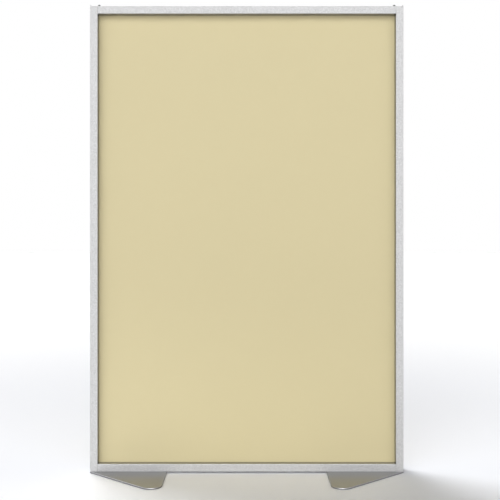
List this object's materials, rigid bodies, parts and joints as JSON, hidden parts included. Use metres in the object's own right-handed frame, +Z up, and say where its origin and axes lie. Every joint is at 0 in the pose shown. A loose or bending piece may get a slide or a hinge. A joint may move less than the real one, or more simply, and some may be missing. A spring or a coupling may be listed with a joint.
{
  "type": "partition panel",
  "caption": "Free-standing room partition: aluminium frame round a beige faced board, with a flat triangular steel foot under each end and link brackets on top.",
  "frame": {"origin": "on the floor, under the middle of the panel", "axes": "+Z up, +X along the panel to the viewer's right, -Y out of the front face; front and back are alike"},
  "size_m": [1.2208, 0.515, 1.8255],
  "materials": {
    "frame_aluminium": "satin clear anodised, fine grain",
    "foot_steel": "satin metallic grey",
    "fastener_steel": "zinc plated",
    "bracket_steel": "satin",
    "black_screw": "black oxide",
    "grey_plastic": "moulded",
    "facing_vinyl": "smooth beige vinyl",
    "core_board": "raw edge",
    "liner_vinyl": "soft extruded",
    "black_rubber": "matte"
  },
  "bodies": {
    "root": {"left_stile": "frame_aluminium", "right_stile": "frame_aluminium", "top_rail": "frame_aluminium", "bottom_rail": "frame_aluminium", "left_frame_screws": "fastener_steel", "right_frame_screws": "fastener_steel", "left_hole_plugs": "grey_plastic", "right_hole_plugs": "grey_plastic", "top_left_cap": "grey_plastic", "top_right_cap": "grey_plastic", "bottom_left_cap": "grey_plastic", "bottom_right_cap": "grey_plastic", "infill_core": "core_board", "front_facing": "facing_vinyl", "back_facing": "facing_vinyl", "top_liner": "liner_vinyl", "bottom_liner": "liner_vinyl", "left_liner": "liner_vinyl", "right_liner": "liner_vinyl", "setting_blocks": "black_rubber", "left_foot": "foot_steel", "right_foot": "foot_steel", "left_foot_screws": "fastener_steel", "right_foot_screws": "fastener_steel", "left_tapped_bar": "fastener_steel", "right_tapped_bar": "fastener_steel", "left_foot_pads": "black_rubber", "right_foot_pads": "black_rubber", "left_link_bracket": "bracket_steel", "right_link_bracket": "bracket_steel", "left_bracket_screw": "black_screw", "right_bracket_screw": "black_screw", "left_bracket_nut": "fastener_steel", "right_bracket_nut": "fastener_steel"}
  },
  "joints": []
}
